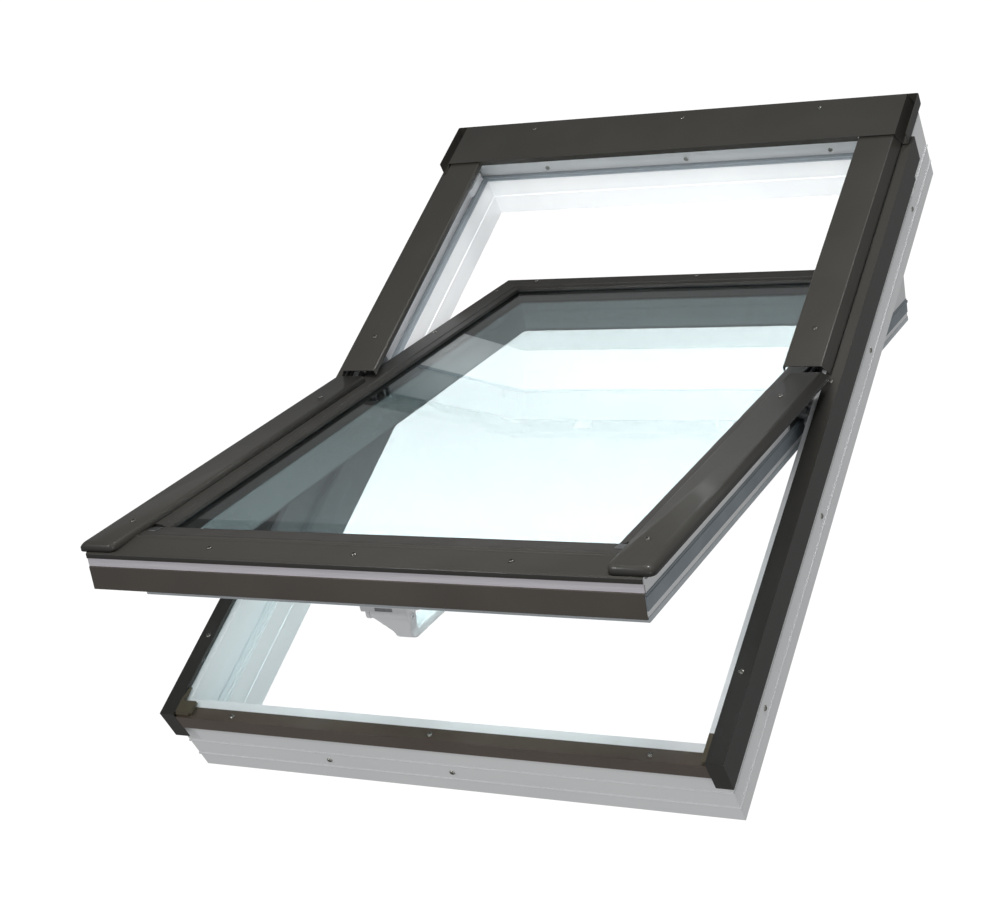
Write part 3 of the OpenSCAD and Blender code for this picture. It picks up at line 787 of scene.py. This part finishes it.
def screw_tree():
    """Puts a copy of one screw on each point, turned to the point's direction."""
    tree = bpy.data.node_groups.new("screws on points", "GeometryNodeTree")
    face = tree.interface
    face.new_socket("Points", in_out="INPUT", socket_type="NodeSocketGeometry")
    face.new_socket("Screw", in_out="INPUT", socket_type="NodeSocketObject")
    face.new_socket("Seed", in_out="INPUT", socket_type="NodeSocketInt")
    face.new_socket("Finish", in_out="INPUT", socket_type="NodeSocketMaterial")
    face.new_socket("Screws", in_out="OUTPUT", socket_type="NodeSocketGeometry")
    given = add(tree, "NodeGroupInput")
    way = add(
        tree,
        "GeometryNodeInputNamedAttribute",
        {"data_type": "FLOAT_VECTOR", "Name": "way"},
    )
    turn = add(
        tree,
        "FunctionNodeAlignRotationToVector",
        {"axis": "Z"},
        {"Vector": way.outputs["Attribute"]},
    )
    chance = add(
        tree,
        "FunctionNodeRandomValue",
        {"data_type": "FLOAT_VECTOR", "Max": (0.0, 0.0, math.pi / 2)},
        {"Seed": given.outputs["Seed"]},
    )
    spin = add(tree, "FunctionNodeEulerToRotation", links={"Euler": chance.outputs["Value"]})
    both = add(
        tree,
        "FunctionNodeRotateRotation",
        {"rotation_space": "LOCAL"},
        {"Rotation": turn.outputs["Rotation"], "Rotate By": spin.outputs["Rotation"]},
    )
    shape = add(tree, "GeometryNodeObjectInfo", links={"Object": given.outputs["Screw"]})
    copies = add(
        tree,
        "GeometryNodeInstanceOnPoints",
        links={
            "Points": given.outputs["Points"],
            "Instance": shape.outputs["Geometry"],
            "Rotation": both.outputs["Rotation"],
        },
    )
    real = add(
        tree, "GeometryNodeRealizeInstances", links={"Geometry": copies.outputs["Instances"]}
    )
    painted = add(
        tree,
        "GeometryNodeSetMaterial",
        links={"Geometry": real.outputs["Geometry"], "Material": given.outputs["Finish"]},
    )
    add(tree, "NodeGroupOutput", links={"Screws": painted.outputs["Geometry"]})
    return tree


SHEET_TREE = folded_sheet_tree()
SCREW_TREE = screw_tree()


# ---- sizes and colours a user would change ----


class RoofWindowMake(bpy.types.PropertyGroup):
    """Sheet thickness and main colours"""

    sheet_thickness: bpy.props.FloatProperty(
        name="Sheet", description="Thickness of the folded covers", default=1.2 * MM, unit="LENGTH"
    )
    white_colour: bpy.props.FloatVectorProperty(
        name="White",
        description="White profiles",
        default=linear("#F4F5F6"),
        size=4,
        subtype="COLOR",
    )
    white_shade: bpy.props.FloatVectorProperty(
        name="White, darker",
        description="Second tone of the white profiles",
        default=linear("#EDEFF1"),
        size=4,
        subtype="COLOR",
    )
    cladding_colour: bpy.props.FloatVectorProperty(
        name="Cladding",
        description="Dark sheets and covers",
        default=linear("#2C2B28"),
        size=4,
        subtype="COLOR",
    )
    cladding_shade: bpy.props.FloatVectorProperty(
        name="Cladding, darker",
        description="Second tone of the dark sheets and covers",
        default=linear("#282724"),
        size=4,
        subtype="COLOR",
    )
    glass_tint: bpy.props.FloatVectorProperty(
        name="Glass",
        description="Tint of the two panes",
        default=linear("#C2C9CA"),
        size=4,
        subtype="COLOR",
    )


class RoofWindowLight(bpy.types.PropertyGroup):
    """Lamps, surrounding light and floor"""

    key_power: bpy.props.FloatProperty(
        name="Overhead light", description="Power of the light above", default=25.0, unit="POWER"
    )
    fill_power: bpy.props.FloatProperty(
        name="Front light", description="Power of the front light", default=10.0, unit="POWER"
    )
    rim_power: bpy.props.FloatProperty(
        name="Glints", description="Power of the two small lights", default=20.0, unit="POWER"
    )
    sky: bpy.props.FloatProperty(
        name="Sky", description="Strength of the even surrounding light", default=0.26, min=0.0
    )
    floor_cast: bpy.props.FloatProperty(
        name="Floor light", description="Light the floor throws up", default=0.44, min=0.0
    )
    floor_drop: bpy.props.FloatProperty(
        name="Floor", description="How far the floor lies below", default=0.9, unit="LENGTH"
    )


# ---- operators ----

# brightness of the floor and the surroundings when looked at: a little over full white
PALE = 1.05
# brightness of the floor in a reflection, and through the two tinted panes
FLOOR_MIRRORED = 0.22
FLOOR_THROUGH_GLASS = 6.4
# the way to the brightest part of the surroundings, and the darkest and brightest share there
BRIGHT_SIDE = (0.38, -0.70, 0.60)
DIMMEST, BRIGHTEST = 0.25, 1.6


class ROOFWINDOW_OT_stage(bpy.types.Operator):
    """Camera, soft studio lights and a pale floor"""

    bl_idname = "roofwindow.stage"
    bl_label = "Stage"

    def execute(self, context):
        light = context.scene.roof_window_light
        scene = context.scene
        place = Vector((1.17868, -1.71550, 1.87491))
        ahead = Vector((-0.46413, 0.59551, -0.65571)).normalized()
        # the window lies in a roof of this slope, so the camera's upright leans by it
        slope = math.radians(46.04)
        up_the_wall = Vector((0, math.sin(slope), math.cos(slope)))
        right = ahead.cross(up_the_wall).normalized()
        up = right.cross(ahead).normalized()
        camera = bpy.data.objects.new("camera", bpy.data.cameras.new("camera"))
        scene.collection.objects.link(camera)
        camera.matrix_world = Matrix.Translation(place) @ Matrix(
            (right, up, -ahead)
        ).transposed().to_4x4()
        camera.data.lens = 69.0
        camera.data.sensor_width = 36.0
        camera.data.clip_end = 50.0
        scene.camera = camera

        bpy.ops.mesh.primitive_plane_add(size=80, location=(0, 0, -light.floor_drop))
        floor = context.object
        floor.name = "floor"
        floor.data.materials.append(
            sweep_floor(
                "white_sweep", PALE, FLOOR_MIRRORED, FLOOR_THROUGH_GLASS, light.floor_cast
            )
        )

        def soft_box(name, at, aim, size, power):
            lamp = bpy.data.lights.new(name, "AREA")
            lamp.shape = "DISK"
            lamp.size = size
            lamp.energy = power
            holder = bpy.data.objects.new(name, lamp)
            scene.collection.objects.link(holder)
            holder.location = at
            toward = Vector(aim) - Vector(at)
            holder.rotation_euler = toward.to_track_quat("-Z", "Y").to_euler()
            holder.visible_glossy = name != "overhead"

        soft_box("overhead", (0.15, -0.15, 1.15), (-0.1, 0.3, 0.0), 0.8, light.key_power)
        soft_box("front", (2.6, -2.6, 1.6), (0, 0, 0), 1.8, light.fill_power)
        soft_box("glint_front", (-1.5, -2.0, 3.0), (0, 0, 0), 0.3, light.rim_power)
        soft_box("glint_back", (1.0, 1.8, 2.2), (0, 0, 0), 0.3, light.rim_power)
        world = bpy.data.worlds.new("studio")
        scene.world = world
        world.use_nodes = True
        world.node_tree.nodes.clear()
        tree = world.node_tree
        where = add(tree, "ShaderNodeTexCoord")
        toward = add(
            tree,
            "ShaderNodeVectorMath",
            {"operation": "DOT_PRODUCT", 1: BRIGHT_SIDE},
            {0: where.outputs["Generated"]},
        )
        level = add(
            tree,
            "ShaderNodeMapRange",
            {
                "From Min": -1.0,
                "From Max": 1.0,
                "To Min": DIMMEST * light.sky,
                "To Max": BRIGHTEST * light.sky,
            },
            {"Value": toward.outputs["Value"]},
        )
        path = add(tree, "ShaderNodeLightPath")
        shown = add(
            tree,
            "ShaderNodeMix",
            {"B": PALE},
            {"Factor": path.outputs["Is Camera Ray"], "A": level.outputs["Result"]},
        )
        sky = add(
            tree,
            "ShaderNodeBackground",
            {"Color": linear("#FFFFFF")},
            {"Strength": shown.outputs["Result"]},
        )
        add(tree, "ShaderNodeOutputWorld", links={"Surface": sky.outputs["Background"]})
        scene.view_settings.view_transform = "Standard"
        return {"FINISHED"}


class ROOFWINDOW_OT_white_members(bpy.types.Operator):
    """White uPVC members of the frame and the sash, and the white mouldings"""

    bl_idname = "roofwindow.white_members"
    bl_label = "White members"

    def execute(self, context):
        dress(
            ("frame_jamb_left", "frame_jamb_right", "sash_stile_left", "sash_stile_right"),
            finish("upvc_along_y"),
            0.7,
        )
        dress(
            ("frame_head", "frame_sill", "sash_top_rail", "sash_bottom_rail"),
            finish("upvc_along_x"),
            0.7,
        )
        dress(
            (
                "groove_block_left",
                "groove_block_right",
                "upper_cover_brackets",
                "head_cover_blocks",
            ),
            finish("white_moulding"),
            0.5,
        )
        return {"FINISHED"}


class ROOFWINDOW_OT_seals(bpy.types.Operator):
    """Seals of the frame, the sash and the glass"""

    bl_idname = "roofwindow.seals"
    bl_label = "Seals"

    def execute(self, context):
        dress(("frame_gasket",), finish("frame_seal"), 0.4, flatten=False)
        dress(("groove_strip_left", "groove_strip_right"), finish("upvc_along_y"), 0.4)
        dress(("sash_gasket",), finish("grey_seal"), 0.6, flatten=False)
        dress(("sash_edge_seal",), finish("edge_seal"), 0.7, flatten=False)
        glass_seals = ("glass_bed_seal", "glass_top_seal")
        dress(glass_seals, finish("black_seal"), 0.3, segments=1, flatten=False)
        return {"FINISHED"}


class ROOFWINDOW_OT_glazing(bpy.types.Operator):
    """The two panes and the bar between them"""

    bl_idname = "roofwindow.glazing"
    bl_label = "Glazing"

    def execute(self, context):
        for node in ("outer_pane", "inner_pane"):
            bm = bmesh.new()
            bm.from_mesh(frame["nodes"][node].data)
            bmesh.ops.remove_doubles(bm, verts=bm.verts, dist=WELD_GAP)
            bmesh.ops.dissolve_limit(bm, angle_limit=0.01, verts=bm.verts, edges=bm.edges)
            bmesh.ops.bevel(
                bm, geom=list(bm.edges), offset=0.4 * MM, segments=1, affect="EDGES", profile=0.5
            )
            for face in bm.faces:
                face.smooth = False
            settle(mesh_piece(node + "_arrised", bm, finish("pane"), 5), "sash", node)
        dress(("glass_spacer",), finish("spacer"), 0.2, segments=1, flatten=False)
        return {"FINISHED"}


class ROOFWINDOW_OT_beads(bpy.types.Operator):
    """Dark beads round the glass, and the corner blocks on the sill"""

    bl_idname = "roofwindow.beads"
    bl_label = "Beads"

    def execute(self, context):
        dress(
            ("side_bead_left", "side_bead_right", "top_bead", "bottom_bead"),
            finish("umber_plastic"),
            0.8,
        )
        corners = ("corner_block_left", "corner_block_right")
        dress(corners, finish("umber_block"), 0.8, segments=3)
        return {"FINISHED"}


class ROOFWINDOW_OT_metalwork(bpy.types.Operator):
    """Hinge plates, brackets, latch, clips, bars and the bright strip"""

    bl_idname = "roofwindow.metalwork"
    bl_label = "Metalwork"

    def execute(self, context):
        dress(
            (
                "frame_hinge_left",
                "frame_hinge_right",
                "sash_hinge_left",
                "sash_hinge_right",
                "side_cover_brackets",
                "latch_keep",
                "latch_bolt",
                "bead_clips",
            ),
            finish("zinc"),
            0.3,
        )
        dress(("frame_steel_bars", "sash_steel_bars"), finish("zinc"), 0.3, segments=1)
        dress(("silver_strip",), finish("silver"), 0.3)
        return {"FINISHED"}


class ROOFWINDOW_OT_cladding(bpy.types.Operator):
    """Dark folded sheets on the frame and the sash"""

    bl_idname = "roofwindow.cladding"
    bl_label = "Cladding"

    def execute(self, context):
        dress(
            ("side_cladding_left", "side_cladding_right", "head_cladding", "head_cover"),
            finish("umber_coat"),
            0.6,
            segments=3,
        )
        # the fascia takes the coat painted paler, as painted light on its front face
        dress(("fascia",), finish("umber_front_painted_light"), 0.4)
        # the sill takes the dark coat with a painted brown reflection
        dress(("sill_cladding",), finish("umber_sill_painted_reflection"), 0.4)
        return {"FINISHED"}


class ROOFWINDOW_OT_covers(bpy.types.Operator):
    """Rolled covers over the upper frame and the sash"""

    bl_idname = "roofwindow.covers"
    bl_label = "Covers"

    def execute(self, context):
        for side, sign in (("left", -1), ("right", 1)):
            upper = folded(
                "upper_cover_%s_rolled" % side,
                [(sign * x, z) for x, z in UPPER_COVER],
                "xz",
                UPPER_COVER_RUN,
                UPPER_COVER_BEND,
                sign,
            )
            settle(upper, "frame", "upper_cover_" + side)
            pressed = pressed_cover("side_cover_%s_pressed" % side, sign)
            settle(pressed, "sash", "side_cover_" + side)
        low = folded(
            "bottom_cover_rolled", BOTTOM_COVER, "yz", BOTTOM_COVER_RUN, BOTTOM_COVER_BEND
        )
        low.data.transform(OPENED)
        settle(low, "sash", "bottom_cover")
        return {"FINISHED"}


class ROOFWINDOW_OT_screws(bpy.types.Operator):
    """Every screw, with its domed head and cross recess"""

    bl_idname = "roofwindow.screws"
    bl_label = "Screws"

    def execute(self, context):
        # the body, the length in mm and the finish of the screws in each node
        groups = {
            "frame_screws": ("frame", 7, "screw_steel"),
            "cladding_screws": ("frame", 13, "dark_screw"),
            "cover_screws": ("frame", 6, "dark_screw"),
            "frame_inner_screws": ("frame", 10, "screw_steel"),
            "sash_screws": ("sash", 9, "dark_screw"),
            "sash_hinge_screws": ("sash", 8, "screw_steel"),
            "handle_screws": ("sash", 12, "screw_steel"),
        }
        for number, (node, (body, length, finish_name)) in enumerate(groups.items()):
            prototype = screw_prototype(length)
            places = screw_places(node)
            mesh = bpy.data.meshes.new("places")
            mesh.from_pydata([p - a * HEAD_HEIGHT * MM for p, a in places], [], [])
            ways = mesh.attributes.new("way", "FLOAT_VECTOR", "POINT")
            for i, (_, axis) in enumerate(places):
                ways.data[i].vector = axis
            carrier = bpy.data.objects.new("places", mesh)
            context.scene.collection.objects.link(carrier)
            made = apply_tree(
                carrier,
                SCREW_TREE,
                {"Screw": prototype, "Seed": number, "Finish": finish(finish_name)},
                node + "_made",
                40,
            )
            bpy.data.objects.remove(prototype)
            settle(made, body, node)
        return {"FINISHED"}


class ROOFWINDOW_OT_handle(bpy.types.Operator):
    """White handle under the sash: its base, and the lever with its corners rounded off"""

    bl_idname = "roofwindow.handle"
    bl_label = "Handle"

    def execute(self, context):
        dress(("handle_base",), finish("white_moulding"), 1.2, segments=3)
        lever = frame["nodes"]["handle_lever"]
        lever.data.materials.clear()
        lever.data.materials.append(finish("white_moulding"))
        skin = lever.modifiers.new("skin", "REMESH")
        skin.mode = "VOXEL"
        skin.voxel_size = 1.1 * MM
        skin.use_smooth_shade = True
        soft = lever.modifiers.new("soft", "SMOOTH")
        soft.factor = 0.6
        soft.iterations = 22
        return {"FINISHED"}


class ROOFWINDOW_PT_panel(bpy.types.Panel):
    """Lists the pieces that can be made"""

    bl_label = "Roof window"
    bl_space_type = "VIEW_3D"
    bl_region_type = "UI"
    bl_category = "Roof window"

    def draw(self, context):
        column = self.layout.column()
        for operator in OPERATORS:
            column.operator(operator.bl_idname)
        for name in RoofWindowMake.__annotations__:
            column.prop(context.scene.roof_window_make, name)
        for name in RoofWindowLight.__annotations__:
            column.prop(context.scene.roof_window_light, name)


OPERATORS = (
    ROOFWINDOW_OT_stage,
    ROOFWINDOW_OT_white_members,
    ROOFWINDOW_OT_seals,
    ROOFWINDOW_OT_glazing,
    ROOFWINDOW_OT_beads,
    ROOFWINDOW_OT_metalwork,
    ROOFWINDOW_OT_cladding,
    ROOFWINDOW_OT_covers,
    ROOFWINDOW_OT_screws,
    ROOFWINDOW_OT_handle,
)
CLASSES = (RoofWindowMake, RoofWindowLight) + OPERATORS + (ROOFWINDOW_PT_panel,)


def register():
    for made in CLASSES:
        bpy.utils.register_class(made)
    bpy.types.Scene.roof_window_make = bpy.props.PointerProperty(type=RoofWindowMake)
    bpy.types.Scene.roof_window_light = bpy.props.PointerProperty(type=RoofWindowLight)


def unregister():
    del bpy.types.Scene.roof_window_light
    del bpy.types.Scene.roof_window_make
    for made in reversed(CLASSES):
        bpy.utils.unregister_class(made)


def main():
    register()
    for operator in OPERATORS:
        group, name = operator.bl_idname.split(".")
        getattr(getattr(bpy.ops, group), name)()


if __name__ == "__main__":
    main()
